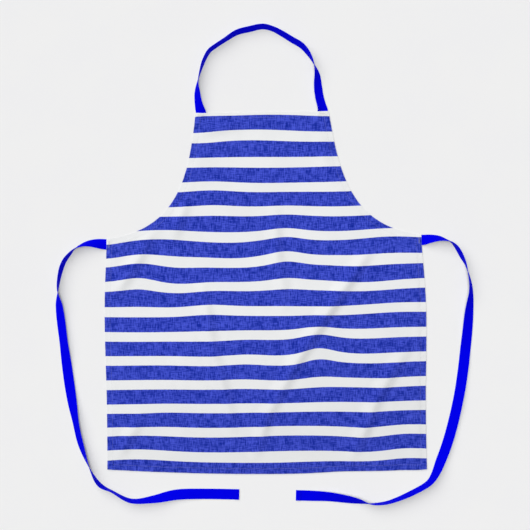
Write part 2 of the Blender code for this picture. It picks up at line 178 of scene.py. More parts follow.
# A quarter of a tape's section, from its edge inwards: height in mm, and place as a share of half the width
SELVEDGE = ((0.0, 1.0), (0.35, 0.985), (0.50, 0.95), (0.57, 0.87), (0.50, 0.78), (0.48, 0.40))
SECTION_MIDDLE = 0.47 * MM      # half the tape's thickness at its middle
SELVEDGE_SHARE = 1.14           # a selvedge's thickness as a share of the tape's
TURNED_END = 9 * MM             # the tie's free end is turned over by this much
TURN_LIFT = 0.55 * MM
TURN_STEPS = 6
TAPE_CUP = 0.25 * MM            # a tape's middle lies out of its plane by up to this much

# How the tapes lie: x, y and the roll in degrees. At roll 0 the tape's own face is up, and a positive roll
# leans that face outwards, away from the middle of the apron.
NECK_STRAP_LAY = (
    (-0.117, 0.692, 14), (-0.1192, 0.700, 30), (-0.1215, 0.712, 44), (-0.1228, 0.728, 57),
    (-0.122, 0.746, 80), (-0.115, 0.773, 96), (-0.1082, 0.791, 104), (-0.099, 0.8065, 108),
    (-0.088, 0.8150, 108), (-0.070, 0.8265, 106), (-0.046, 0.841, 112), (-0.022, 0.847, 116),
    (0.003, 0.8515, 111), (0.022, 0.847, 108), (0.040, 0.8375, 114), (0.059, 0.8255, 118),
    (0.076, 0.815, 116), (0.089, 0.800, 108), (0.100, 0.779, 88), (0.1055, 0.760, 60),
    (0.1068, 0.737, 36), (0.1095, 0.716, 30), (0.1135, 0.700, 28), (0.1155, 0.692, 12),
)
LEFT_TIE_LAY = (
    (-0.303, 0.442, 4), (-0.320, 0.444, 33), (-0.334, 0.444, 56), (-0.346, 0.4412, 72), (-0.359, 0.435, 87),
    (-0.370, 0.424, 100), (-0.3805, 0.410, 106), (-0.388, 0.389, 107), (-0.393, 0.357, 90),
    (-0.391, 0.325, 40), (-0.383, 0.251, 27), (-0.374, 0.175, 9), (-0.364, 0.112, 43), (-0.354, 0.064, 51),
    (-0.336, 0.014, 83), (-0.319, -0.0145, 106), (-0.296, -0.0275, 92), (-0.260, -0.046, 104),
    (-0.218, -0.044, 126), (-0.173, -0.0365, 165), (-0.125, -0.036, 179), (-0.055, -0.038, 180),
)
RIGHT_TIE_LAY = (
    (0.303, 0.442, 8), (0.311, 0.4432, 26), (0.320, 0.4443, 40), (0.333, 0.4445, 59), (0.345, 0.4418, 77),
    (0.356, 0.4372, 91), (0.366, 0.4268, 103), (0.375, 0.4105, 104), (0.384, 0.390, 90), (0.392, 0.350, 66),
    (0.3885, 0.305, 30), (0.383, 0.250, 4), (0.372, 0.170, -14), (0.3602, 0.1132, -18), (0.348, 0.068, -18),
    (0.333, 0.027, -26), (0.312, -0.015, -58), (0.285, -0.0335, -69), (0.233, -0.0547, -80),
    (0.199, -0.0585, -94), (0.170, -0.0525, -127), (0.119, -0.0445, -157), (0.080, -0.0423, -176),
    (0.055, -0.0413, -180),
)

# Thread
SEAM_BODIES = {"bottom_hem": "skirt", "right_side": "skirt", "left_side": "skirt", "top_hem": "bib"}
STITCH_PITCH = 3.0 * MM
STITCH_GAP = 0.5 * MM
STITCH_RADIUS = 0.2 * MM
STITCH_RISE = 0.24 * MM
STITCH_SINK = 0.14 * MM
STITCH_RINGS = 7
THREAD_SIDES = 6
THREAD_ANGLES = np.arange(THREAD_SIDES) * 2 * math.pi / THREAD_SIDES
BARTACK_WIDTH = 13 * MM
BARTACK_INSETS = (2.6 * MM, 6.2 * MM)
BARTACK_LEGS = 24
BARTACK_STEP = 0.6 * MM
STITCH_TURNS = 5                # of the plies in one stitch
TACK_TURN = 0.7 * MM            # length of one turn of the plies in a bartack
END_STITCH_PITCH = 2.4 * MM
END_SEAM_SHARE = 0.72           # of the way from a turned end's fold to its cut edge
END_SEAM_INSET = 2.2 * MM

# Colours
WHITE_CLOTH = colour(245, 246, 247)
SHADED_WHITE = colour(241, 242, 243)
DARK_BLUE = colour(18, 42, 161)
BRIGHT_BLUE = colour(73, 89, 219)
TAPE_BLUE = colour(1, 1, 241)
# TAPE_SHADE: the darker blue of slubs, and the painted shade in the valleys between the ribs
TAPE_SHADE = colour(0, 0, 222)
TAPE_RUBBED = colour(50, 50, 245)
TAPE_GLOW = colour(150, 150, 172)       # what the tape casts on the table, so that its shadows stay neutral
CLOTH_GLOW = colour(90, 90, 90)         # and the cloth, whose lit edge would glow on the table otherwise
CLOTH_GLOW_SHARE = 0.6
WHITE_THREAD = colour(236, 236, 238)
BLUE_THREAD = colour(6, 5, 206)
# THREAD_SHADE: painted shade, for the grooves between a thread's plies
THREAD_SHADE = colour(20, 20, 60)
FLOOR_GREY = colour(243, 243, 243)
FLOOR_CLOUD = colour(242, 242, 243)

# Patterns. A noise's size is given as its cells in each metre.
SLUBS_ACROSS = 600              # streaks of darker and brighter yarn in the blue
SLUBS_ALONG = 75
CLOUDS = 60
UPRIGHT_SHARE = 0.42
LEVEL_SHARE = 0.36
CLOUD_SHARE = 0.22
TONE_LOW = 0.42
TONE_HIGH = 0.58
WEAVE_PITCH = 0.7 * MM
WEAVE_GAP_SHADE = 0.92                # brightness of the painted shade in the gaps between yarns
PAINTED_FALLOFF = 0.925                 # brightness of the painted shade at the cloth's lower right, where the light falls off
BACK_FADE = 0.16
EDGE_FADE = 0.35
EDGE_WEAR = 1.6 * MM
CHEVRON = 2.5 * MM
RIB_PITCH = 1.3 * MM
TAPE_YARN = 0.5 * MM
SELVEDGE_WEAR = 0.7 * MM        # a tape is rubbed this far in from its edge

# View and light
CAMERA_LENS = 100               # mm, on a 36 mm sensor
SENSOR = 36
VIEW_WIDTH = 1.0102             # metres of table that the picture spans
VIEW_CENTRE = (0.0013, 0.3984)
VIEW_TURN = math.radians(0.8)   # the apron lies turned by this much in the picture
TABLE_REACH = 40.0
TABLE_GAP = 0.1 * MM
# Soft lights: name, strength, spread and the two tilts in degrees
LIGHTS = (
    ("soft_key", 1.55, 58, (-29, -29)),         # from the upper left of the picture
    ("overhead", 1.06, 16, (0, 0)),
    ("under_table", 1.60, 60, (180, 0)),        # lights the back, for views from below the table
)
SKY_LIGHT = 0.25
SKY_SEEN = 0.87

looks = bpy.data.collections.new("apron_looks")
bpy.context.scene.collection.children.link(looks)


# Small tools

def smoothstep(low, high, value):
    share = np.clip((value - low) / (high - low), 0, 1)
    return share * share * (3 - 2 * share)


def unit(vectors):
    return vectors / np.linalg.norm(vectors, axis=-1, keepdims=True)


def distances_along(points):
    steps = np.linalg.norm(np.diff(points, axis=0), axis=1)
    return np.concatenate(([0], np.cumsum(steps)))


def resampled(points, spacing):
    """Points spread evenly along a line, spacing apart at most."""
    along = distances_along(points[:, :2])
    count = math.ceil(along[-1] / spacing)
    wanted = np.linspace(0, along[-1], count + 1)
    return np.stack([np.interp(wanted, along, column) for column in points.T], axis=1)


def ring_quads(rings):
    """Quads between following rows of vertex numbers, each row closed on itself."""
    after = np.roll(rings, -1, axis=1)
    quads = np.stack([rings[:-1], after[:-1], after[1:], rings[1:]], axis=-1)
    return quads.reshape(-1, 4).tolist()


def tube_faces(count, sides):
    """Faces of a closed tube with its points numbered ring by ring."""
    numbers = np.arange(count * sides).reshape(count, sides)
    return ring_quads(numbers) + [numbers[0][::-1].tolist(), numbers[-1].tolist()]


def add_object(name, data, collection=bpy.context.scene.collection):
    made = bpy.data.objects.new(name, data)
    collection.objects.link(made)
    return made


def level_face(name, low, high):
    """One level face at z = 0, from one corner to the opposite one."""
    mesh = bpy.data.meshes.new(name)
    corners = [(low[0], low[1], 0), (high[0], low[1], 0), (high[0], high[1], 0), (low[0], high[1], 0)]
    mesh.from_pydata(corners, [], [(0, 1, 2, 3)])
    return add_object(name, mesh)


def make_piece(name, points, faces, material, sharp_angle, **attributes):
    """A mesh object. An attribute is one number or one vector for each point."""
    mesh = bpy.data.meshes.new(name)
    mesh.from_pydata(np.asarray(points, float).tolist(), [], faces)
    for key, values in attributes.items():
        values = np.asarray(values, np.float32)
        kind, field = ("FLOAT_VECTOR", "vector") if values.ndim == 2 else ("FLOAT", "value")
        mesh.attributes.new(key, kind, "POINT").data.foreach_set(field, values.ravel())
    mesh.polygons.foreach_set("use_smooth", [True] * len(mesh.polygons))
    mesh.set_sharp_from_angle(angle=math.radians(sharp_angle))
    mesh.materials.append(material)
    return add_object(name, mesh, looks)


# Materials

class Graph:
    """A material's nodes, with short calls for the kinds used here."""

    def __init__(self, name):
        self.material = bpy.data.materials.new(name)
        self.material.use_nodes = True
        self.tree = self.material.node_tree
        self.shader = self.tree.nodes["Principled BSDF"]
        self.output = self.tree.nodes["Material Output"]

    def feed(self, socket, value):
        if isinstance(value, bpy.types.NodeSocket):
            self.tree.links.new(value, socket)
        else:
            socket.default_value = value

    def add(self, kind, inputs, **settings):
        made = self.tree.nodes.new("ShaderNode" + kind)
        for key, value in settings.items():
            setattr(made, key, value)
        for key, value in inputs.items():
            self.feed(made.inputs[key], value)
        return made

    def math(self, operation, first, second=0.0, third=0.0):
        return self.add("Math", {0: first, 1: second, 2: third}, operation=operation).outputs[0]

    def scaled(self, vector, factors):
        inputs = {0: vector, 1: factors}
        return self.add("VectorMath", inputs, operation="MULTIPLY").outputs[0]

    def parts(self, vector):
        return self.add("SeparateXYZ", {0: vector}).outputs

    def attribute(self, name):
        return self.add("Attribute", {}, attribute_name=name)

    def noise(self, place, cells, detail, roughness=0.5):
        inputs = {"Vector": self.scaled(place, cells), "Scale": 1.0, "Detail": detail, "Roughness": roughness}
        return self.add("TexNoise", inputs).outputs["Fac"]

    def range(self, value, low, high, to_low=0.0, to_high=1.0, smooth=True):
        kind = "SMOOTHSTEP" if smooth else "LINEAR"
        inputs = {"Value": value, "From Min": low, "From Max": high, "To Min": to_low, "To Max": to_high}
        return self.add("MapRange", inputs, interpolation_type=kind).outputs[0]

    def mix(self, share, first, second, blend="MIX"):
        made = self.add("Mix", {0: share, 6: first, 7: second}, data_type="RGBA", blend_type=blend)
        return made.outputs[2]

    def ray(self, kind):
        """1 for light of a kind, such as "Is Shadow Ray", and 0 for other light."""
        return self.add("LightPath", {}).outputs[kind]

    def grey(self, value):
        return self.add("CombineXYZ", {0: value, 1: value, 2: value}).outputs[0]

    def bump(self, height, distance, strength):
        inputs = {"Height": height, "Distance": distance, "Strength": strength}
        return self.add("Bump", inputs).outputs[0]

    def finish(self, base, roughness, normal, specular, sheen):
        inputs = {"Base Color": base, "Roughness": roughness, "Normal": normal, "Sheen Weight": sheen,
                  "Specular IOR Level": specular, "Sheen Roughness": 0.6}
        for key, value in inputs.items():
            self.feed(self.shader.inputs[key], value)
        return self.material


def stripe_colour(graph, place):
    """The yarn-dyed stripes over a place on the cut cloth."""
    _, y, _ = graph.parts(place)
    stray = graph.noise(place, (220, 220, 0), 3.0)
    y = graph.math("MULTIPLY_ADD", stray, STRIPE_STRAY, y)
    half = STRIPE_BLUE / STRIPE_PITCH / 2
    turns = graph.math("MULTIPLY_ADD", y, -1 / STRIPE_PITCH, STRIPE_TOP / STRIPE_PITCH + 0.5 - half)
    from_middle = graph.math("ABSOLUTE", graph.math("SUBTRACT", graph.math("FRACT", turns), 0.5))
    edge = STRIPE_BLUR / STRIPE_PITCH
    blue = graph.range(from_middle, half + edge, half - edge)

    # Slubs: short streaks of darker and brighter yarn that cross each other through the blue
    upright = graph.noise(place, (SLUBS_ACROSS, SLUBS_ALONG, 0), 1.0)
    level = graph.noise(place, (SLUBS_ALONG, SLUBS_ACROSS, 0), 1.0)
    cloud = graph.noise(place, (CLOUDS, CLOUDS, 0), 3.0)
    tone = graph.math("MULTIPLY_ADD", upright, UPRIGHT_SHARE, graph.math("MULTIPLY", level, LEVEL_SHARE))
    tone = graph.math("MULTIPLY_ADD", cloud, CLOUD_SHARE, tone)
    blues = graph.mix(graph.range(tone, TONE_LOW, TONE_HIGH, smooth=False), DARK_BLUE, BRIGHT_BLUE)
    shade = graph.noise(place, (14, 14, 0), 3.0)
    white = graph.mix(graph.range(shade, 0.3, 0.7), WHITE_CLOTH, SHADED_WHITE)
    return graph.mix(blue, white, blues)


def weave(graph, place, pitch):
    """Height of a plain weave, 0 to 1: yarns that pass over and under each other."""
    x, y, _ = graph.parts(graph.scaled(place, (math.pi / pitch,) * 3))
    crossing = graph.math("MULTIPLY", graph.math("SINE", x), graph.math("SINE", y))
    return graph.math("ABSOLUTE", crossing)


def cloth_material():
    graph = Graph("striped_cloth")
    place = graph.attribute("cut_place").outputs["Vector"]
    wrong_side = graph.attribute("wrong_side").outputs["Fac"]
    x, y, inset = graph.parts(place)
    base = stripe_colour(graph, place)

    # Painted shade: the cloth is painted a little darker towards its lower right, where the light falls off
    low_right = graph.math("MULTIPLY_ADD", x, 0.35, graph.math("MULTIPLY", y, -1.0))
    painted_falloff = graph.range(low_right, -0.36, 0.02, 1.0, PAINTED_FALLOFF)
    base = graph.mix(1.0, base, graph.grey(painted_falloff), "MULTIPLY")

    # Painted shade: the tiny gaps between the weave's yarns are painted darker
    yarns = weave(graph, place, WEAVE_PITCH)
    gaps = graph.range(yarns, 0.0, 0.5, WEAVE_GAP_SHADE, 1.0)
    base = graph.mix(1.0, base, graph.grey(gaps), "MULTIPLY")
    # The back is a little paler, and rubbed edges lose some dye
    base = graph.mix(graph.math("MULTIPLY", wrong_side, BACK_FADE), base, WHITE_CLOTH)
    rub = graph.noise(place, (90, 90, 0), 4.0)
    worn = graph.math("MULTIPLY", graph.range(inset, EDGE_WEAR, 0.0), graph.range(rub, 0.35, 0.75))
    base = graph.mix(graph.math("MULTIPLY", worn, EDGE_FADE), base, WHITE_CLOTH)

    base = graph.mix(graph.math("MULTIPLY", graph.ray("Is Diffuse Ray"), CLOTH_GLOW_SHARE), base, CLOTH_GLOW)

    wrinkle = graph.noise(place, (260, 260, 0), 4.0, 0.6)
    normal = graph.bump(graph.math("MULTIPLY_ADD", wrinkle, 0.5, yarns), 0.16 * MM, 0.35)
    roughness = graph.range(wrinkle, 0.3, 0.7, 0.80, 0.92)
    return graph.finish(base, roughness, normal, 0.06, 0.04)


def tape_material():
    """Herringbone cotton tape. tape_place holds the length along it and the distance from its middle."""
    graph = Graph("blue_tape")
    place = graph.attribute("tape_place").outputs["Vector"]
    along, across, _ = graph.parts(place)
    chevron = graph.math("PINGPONG", across, CHEVRON)
    phase = graph.math("MULTIPLY", graph.math("ADD", along, chevron), 2 * math.pi / RIB_PITCH)
    ribs = graph.math("MULTIPLY_ADD", graph.math("SINE", phase), 0.5, 0.5)
    threads = graph.math("SINE", graph.math("MULTIPLY", across, 2 * math.pi / TAPE_YARN))
    height = graph.math("MULTIPLY_ADD", threads, 0.15, ribs)
    # Painted shade: the valleys between the ribs are painted a darker blue
    base = graph.mix(graph.range(ribs, 0.0, 0.5), TAPE_SHADE, TAPE_BLUE)
    slub = graph.noise(place, (60, 500, 0), 3.0)
    base = graph.mix(graph.range(slub, 0.35, 0.7, 0.0, 0.30), base, TAPE_SHADE)
    rub = graph.noise(place, (120, 120, 0), 4.0)
    half = TAPE_WIDTH / 2
    selvedge = graph.range(graph.math("ABSOLUTE", across), half - SELVEDGE_WEAR, half)
    worn = graph.math("MULTIPLY", selvedge, graph.range(rub, 0.4, 0.8, 0.0, 0.22))
    base = graph.mix(worn, base, TAPE_RUBBED)
    base = graph.mix(graph.ray("Is Diffuse Ray"), base, TAPE_GLOW)
    normal = graph.bump(height, 0.12 * MM, 0.4)
    roughness = graph.range(slub, 0.3, 0.7, 0.78, 0.90)
    return graph.finish(base, roughness, normal, 0.01, 0.004)


def thread_material(name, dye):
    """Spun thread. dye is a colour, or None for white thread that has taken up some of the cloth's dye."""
    graph = Graph(name)
    place = graph.attribute("cut_place").outputs["Vector"]
    turns = graph.attribute("thread_turns").outputs["Fac"]
    phase = graph.math("MULTIPLY", turns, 2 * math.pi)
    plies = graph.math("MULTIPLY_ADD", graph.math("SINE", phase), 0.5, 0.5)
    if dye is None:
        wrong_side = graph.attribute("wrong_side").outputs["Fac"]
        tint = graph.math("MULTIPLY_ADD", wrong_side, 0.5, 0.22)
        dye = graph.mix(tint, stripe_colour(graph, place), WHITE_THREAD)
    # Painted shade: the grooves between the plies are painted darker
    dark = graph.mix(0.25, dye, THREAD_SHADE, "MULTIPLY")
    base = graph.mix(graph.range(plies, 0.0, 0.4), dark, dye)
    return graph.finish(base, 0.7, graph.bump(plies, 0.05 * MM, 0.4), 0.15, 0.05)


def floor_material():
    """A matt pale table. It's clear from below and to lamps, so that the apron's back can be seen."""
    graph = Graph("pale_table")
    place = graph.add("TexCoord", {}).outputs["Object"]
    grain = graph.noise(place, (9, 9, 9), 5.0)
    base = graph.mix(graph.range(grain, 0.3, 0.7), FLOOR_GREY, FLOOR_CLOUD)
    material = graph.finish(base, 0.9, graph.bump(grain, 0.02 * MM, 0.1), 0.05, 0.0)
    clear = graph.add("BsdfTransparent", {}).outputs[0]
    behind = graph.add("NewGeometry", {}).outputs["Backfacing"]
    unseen = graph.math("MAXIMUM", behind, graph.ray("Is Shadow Ray"))
    mixed = graph.add("MixShader", {0: unseen, 1: graph.shader.outputs[0], 2: clear})
    graph.feed(graph.output.inputs["Surface"], mixed.outputs[0])
    return material


# The cloth's outline

def bezier(start, first, second, end):
    t = np.linspace(0, 1, OUTLINE_STEPS)[:, None]
    points = [np.array(point) for point in (start, first, second, end)]
    weights = ((1 - t) ** 3, 3 * (1 - t) ** 2 * t, 3 * (1 - t) * t * t, t ** 3)
    return sum(weight * point for weight, point in zip(weights, points))


def hem_height(x):
    share = x / HEM_HALF_WIDTH
    lifts = sum(rise * np.exp(-((x - place) / reach) ** 2) for place, reach, rise in HEM_LIFTS)
    return HEM_DROP * share ** 2 + HEM_TILT * share + lifts


def outline_sides():
    """The outline's six sides, anticlockwise from the bottom hem: name and evenly spread points."""
    x = np.linspace(-HEM_HALF_WIDTH, HEM_HALF_WIDTH, OUTLINE_STEPS)
    bottom = np.stack([x, hem_height(x)], axis=1)
    armhole = bezier(WAIST, ARMHOLE_WAIST_HANDLE, ARMHOLE_TOP_HANDLE, (BIB_HALF_WIDTH, APRON_TOP))
    share = np.linspace(0, 1, OUTLINE_STEPS)[:, None]
    bow = (share / BOW_TOP) ** 4 * ((1 - share) / (1 - BOW_TOP)) ** 2
    right = bottom[-1] + (WAIST - bottom[-1]) * share + bow * (RIGHT_BOW, 0)
    left = (bottom[0] + ((-WAIST[0], WAIST[1]) - bottom[0]) * share - bow * (LEFT_BOW, 0))[::-1]
    top = np.array([(BIB_HALF_WIDTH, APRON_TOP), (-BIB_HALF_WIDTH, APRON_TOP)])
    mirror = np.array([-1, 1])
    outwards = unit(np.gradient(armhole, axis=0))[:, ::-1] * (1, -1)
    right_armhole = armhole + outwards * ARMHOLE_BOW * np.sin(math.pi * share) ** 1.2
    sides = (("bottom_hem", bottom), ("right_side", right), ("right_armhole", right_armhole),
             ("top_hem", top), ("left_armhole", armhole[::-1] * mirror), ("left_side", left))
    return [(name, resampled(points, EDGE_STEP)) for name, points in sides]


def edge_rings():
    """Rings of points at each inset from the outline, and the range of each side's points in a ring."""
    sides = outline_sides()
    tangents = [unit(np.gradient(points, axis=0)) for _, points in sides]
    normals = [np.stack([-t[:, 1], t[:, 0]], axis=1) for t in tangents]
    spans = {}
    start = 0
    for name, points in sides:
        spans[name] = (start, start + len(points) - 1)
        start += len(points) - 1

    def corner_shift(before, after, own):
        """How far a side's inset end moves, for each unit of inset, to meet its neighbour's."""
        both = before + after
        return both * 2 / (both @ both) - own

    rings = []
    for inset in RING_INSETS:
        ring = []
        for index, (_, points) in enumerate(sides):
            normal = normals[index]
            along = distances_along(points)
            at_start = np.clip(1 - along / CORNER_EASE, 0, 1)[:, None] ** 2
            at_end = np.clip(1 - (along[-1] - along) / CORNER_EASE, 0, 1)[:, None] ** 2
            first = corner_shift(normals[index - 1][-1], normal[0], normal[0])
            last = corner_shift(normal[-1], normals[(index + 1) % len(sides)][0], normal[-1])
            moved = points + inset * (normal + at_start * first + at_end * last)
            ring.append(moved[:-1])
        rings.append(np.concatenate(ring))
    return rings, spans


def inside_grid(edge, edge_tree, fence):
    """Grid points well inside a ring of points, and their distances to the cloth's edge."""
    low = edge.min(axis=0)
    high = edge.max(axis=0)
    crossings = np.stack([fence, np.roll(fence, -1, axis=0)], axis=1)
    points = []
    insets = []
    for y in np.arange(low[1] + GRID_STEP, high[1], GRID_STEP):
        spanning = (crossings[:, 0, 1] > y) != (crossings[:, 1, 1] > y)
        first = crossings[spanning, 0]
        run = crossings[spanning, 1] - first
        cuts = np.sort(first[:, 0] + (y - first[:, 1]) / run[:, 1] * run[:, 0])
        for x in np.arange(low[0] + GRID_STEP, high[0], GRID_STEP):
            if np.sum(cuts < x) % 2 == 0:
                continue
            distance = edge_tree.find((x, y, 0))[2]
            if distance > RING_INSETS[-1] + GRID_STEP * 0.6:
                points.append((x, y))
                insets.append(distance)
    return np.array(points), np.array(insets)


# The cloth's height over the table

def stripe_shift(x, y):
    """How far towards the neck the stripes lie from their even places."""
    shift = np.zeros_like(x)
    for at_x, at_y, reach_x, reach_y, amount in NUDGES:
        shift = shift + amount * np.exp(-(((x - at_x) / reach_x) ** 2 + ((y - at_y) / reach_y) ** 2) / 2)
    return shift


def fold_height(x, y):
    height = np.zeros_like(x)
    for start_x, start_y, end_x, end_y, width, rise in FOLDS:
        run_x = end_x - start_x
        run_y = end_y - start_y
        share = np.clip(((x - start_x) * run_x + (y - start_y) * run_y) / (run_x ** 2 + run_y ** 2), 0, 1)
        gap = np.hypot(x - start_x - share * run_x, y - start_y - share * run_y)
        strength = 0.4 + 0.6 * np.sin(math.pi * share)
        height = height + rise * strength * np.exp(-(gap / width) ** 2)
    return height


def low_waves(x, y):
    """Long, low unevenness, 0 to about 1.4 mm."""
    waves = (np.sin(x / 0.061 + 1.3) * np.sin(y / 0.083 + 0.4) + np.sin(x / 0.037 - y / 0.052 + 2.1) * 0.6
             + np.sin(x / 0.049 + y / 0.033) * 0.4 + 2)
    return waves * 0.35 * MM


def drawn_height(x, y, inset):
    """The cloth's middle layer as it's laid down, before it settles."""
    rim = (HEM_THICKNESS - CLOTH) * (1 - smoothstep(HEM_WIDTH, HEM_WIDTH + RIM_EASE, inset))
    loose = smoothstep(FOLDS_START, FOLDS_FULL, inset)
    return CLOTH / 2 + rim + (fold_height(x, y) + low_waves(x, y)) * loose


def settle(edge, edge_tree):
    """Lets a coarse sheet settle on the table with its hems held. Gives its heights on a grid."""
    low = edge.min(axis=0)
    high = edge.max(axis=0)
    columns = np.arange(low[0], high[0] + SETTLE_STEP, SETTLE_STEP)
    rows = np.arange(low[1], high[1] + SETTLE_STEP, SETTLE_STEP)
    x, y = np.meshgrid(columns, rows)
    inset = np.array([edge_tree.find((*point, 0))[2] for point in zip(x.ravel(), y.ravel())]).reshape(x.shape)
    drawn = drawn_height(x, y, inset)

    height = CLOTH + (drawn - CLOTH) * SETTLE_LIFT
    points = np.stack([x, y, height], axis=-1).reshape(-1, 3)
    numbers = np.arange(points.shape[0]).reshape(x.shape)
    quads = np.stack([numbers[:-1, :-1], numbers[:-1, 1:], numbers[1:, 1:], numbers[1:, :-1]], axis=-1)
    mesh = bpy.data.meshes.new("settling_sheet")
    mesh.from_pydata(points.tolist(), [], quads.reshape(-1, 4).tolist())
    sheet = add_object("settling_sheet", mesh)
    held = sheet.vertex_groups.new(name="held")
    held.add(np.flatnonzero(inset.ravel() < HEM_WIDTH).tolist(), 1.0, "REPLACE")

    table = level_face("settling_table", (-1, -1), (1, 1.5))
    table.modifiers.new("collision", "COLLISION")
    table.collision.thickness_outer = CLOTH / 2

    cloth = sheet.modifiers.new("cloth", "CLOTH")
    for setting, value in SETTLE_CLOTH.items():
        setattr(cloth.settings, setting, value)
    cloth.settings.vertex_group_mass = held.name
    cloth.collision_settings.distance_min = CLOTH / 2
    cloth.collision_settings.use_self_collision = False
    for number in range(1, SETTLE_FRAMES + 1):
        bpy.context.scene.frame_set(number)
    settled = sheet.evaluated_get(bpy.context.evaluated_depsgraph_get()).to_mesh()
    result = np.array([vertex.co.z for vertex in settled.vertices]).reshape(x.shape)
    bpy.data.objects.remove(sheet)
    bpy.data.objects.remove(table)
    bpy.context.scene.frame_set(1)
    return columns, rows, np.clip(result, CLOTH / 2, SETTLE_CEILING)


def height_on_grid(columns, rows, heights, x, y):
    """Smooth heights between a grid's points."""
    column = np.clip((x - columns[0]) / SETTLE_STEP, 0, len(columns) - 1.001)
    row = np.clip((y - rows[0]) / SETTLE_STEP, 0, len(rows) - 1.001)

    def cubic(share):
        return (share * (-0.5 + share * (1 - 0.5 * share)), 1 + share * share * (-2.5 + 1.5 * share),
                share * (0.5 + share * (2 - 1.5 * share)), share * share * (-0.5 + 0.5 * share))
    total = np.zeros_like(x)
    for row_step, row_weight in zip((-1, 0, 1, 2), cubic(row % 1)):
        for column_step, column_weight in zip((-1, 0, 1, 2), cubic(column % 1)):
            row_index = np.clip(row.astype(int) + row_step, 0, len(rows) - 1)
            column_index = np.clip(column.astype(int) + column_step, 0, len(columns) - 1)
            total = total + row_weight * column_weight * heights[row_index, column_index]
    return total


def tape_places():
    """Where the four tape ends are sewn into the hem: place on the edge, direction out, body."""
    return {
        "neck_strap_left": ((-NECK_STRAP_X - NECK_STRAP_SPREAD, APRON_TOP), (0, 1), "bib"),
        "neck_strap_right": ((NECK_STRAP_X, APRON_TOP), (0, 1), "bib"),
        "left_tie": ((-WAIST[0], TIE_Y + TIE_RISE), (-1, 0), "skirt"),
        "right_tie": ((WAIST[0], TIE_Y + TIE_RISE), (1, 0), "skirt"),
    }


def bulge_height(x, y):
    """The hem rises over the tape ends that it holds."""
    height = np.zeros_like(x)
    for (at_x, at_y), (out_x, out_y), _ in tape_places().values():
        out = (x - at_x) * out_x + (y - at_y) * out_y
        side = np.abs((x - at_x) * out_y - (y - at_y) * out_x)
        across = 1 - smoothstep(TAPE_WIDTH / 2 - 1.0 * MM, TAPE_WIDTH / 2 + 1.6 * MM, side)
        lengthways = smoothstep(-TAIL_LENGTH - 2 * MM, -TAIL_LENGTH + 0.5 * MM, out)
        height = height + TAPE_THICKNESS * across * lengthways
    return height


def corner_layers(x, y):
    """At the hem's two corners the bottom hem lies over the side hems, which lifts them."""
    def in_hem(inset):
        return smoothstep(HEM_WIDTH + 0.8 * MM, HEM_WIDTH - 0.8 * MM, inset)
    return (HEM_THICKNESS - CLOTH) * in_hem(y - hem_height(x)) * in_hem(HEM_HALF_WIDTH - np.abs(x))


def roping(along, inset):
    """The slanting puckers that a stitched hem pulls itself into."""
    slant = along + inset * 0.9
    waves = (np.sin(slant / (1.35 * MM)) + 0.8 * np.sin(slant / (2.1 * MM) + 1.0)
             + 0.7 * np.sin(slant / (4.7 * MM)))
    in_hem = smoothstep(0, 2 * MM, inset) * (1 - smoothstep(HEM_WIDTH - 1 * MM, HEM_WIDTH + 3 * MM, inset))
    return ROPING * waves * in_hem


def layer_thickness(inset):
    """Three layers in the turned edge, whose inner fold is round, and one inside it."""
    into_turn = np.clip((inset - (HEM_WIDTH - TURN_RADIUS)) / TURN_RADIUS, 0, 1)
    return CLOTH + (HEM_THICKNESS - CLOTH) * math.sqrt(1 - into_turn ** 2)


def cut_place(points, insets):
    """Places on the cut cloth, whose stripes are straight, and the insets from its edge."""
    x = points[:, 0]
    y = points[:, 1]
    return np.column_stack([x, y - stripe_shift(x, y), np.broadcast_to(insets, x.shape)])


def hem_layers(rings, face_height):
    """Points on the face and the back at each ring. The hem is thick and its outer edge is round."""
    along_edge = distances_along(rings[0])
    face = []
    back = []
    for inset, ring in zip(RING_INSETS, rings):
        x, y = ring.T
        seam_dip = SEAM_DIP * math.exp(-((inset - SEAM_INSET) / (0.5 * MM)) ** 2)
        if inset > HEM_WIDTH:
            thickness = np.full_like(x, CLOTH)
            face_z = np.maximum(face_height(x, y), LOWEST_FACE)
        else:
            thickness = layer_thickness(inset) + bulge_height(x, y) + corner_layers(x, y)
            face_z = np.maximum(face_height(x, y) + roping(along_edge, inset), thickness * 0.98) - seam_dip
        middle_z = face_z - thickness / 2
        roundness = math.sqrt(1 - max(1 - inset / EDGE_RADIUS, 0) ** 2)
        face.append(np.stack([x, y, middle_z + (face_z - middle_z) * roundness], axis=1))
        back.append(np.stack([x, y, middle_z + (face_z - thickness - middle_z) * roundness], axis=1))
    return face, back


def fill_triangles(ring, grid):
    """Triangles between the last ring and the grid inside it. The ring's points are numbered first."""
    flat = [Vector(point) for point in np.concatenate([ring, grid])]
    loop = list(range(len(ring)))
    _, _, triangles, origins, _, _ = geometry.delaunay_2d_cdt(flat, [], [loop], 1, 1e-7)
    sources = np.array([numbers[0] for numbers in origins])
    return sources[np.array(triangles)]


def sheet_cut_places(rings, grid, grid_insets):
    """Where each point of the sheet lay on the cut cloth before its edges were turned."""
    unturned = [2 * rings[0] - ring if index < FOOT_RING else ring for index, ring in enumerate(rings)]
    face = [cut_place(ring, inset) for ring, inset in zip(rings, RING_INSETS)]
    back = [cut_place(ring, inset) for ring, inset in zip(unturned, RING_INSETS)]
    inner = cut_place(grid, grid_insets)
    return np.concatenate([*face, inner, *back[1:], inner])


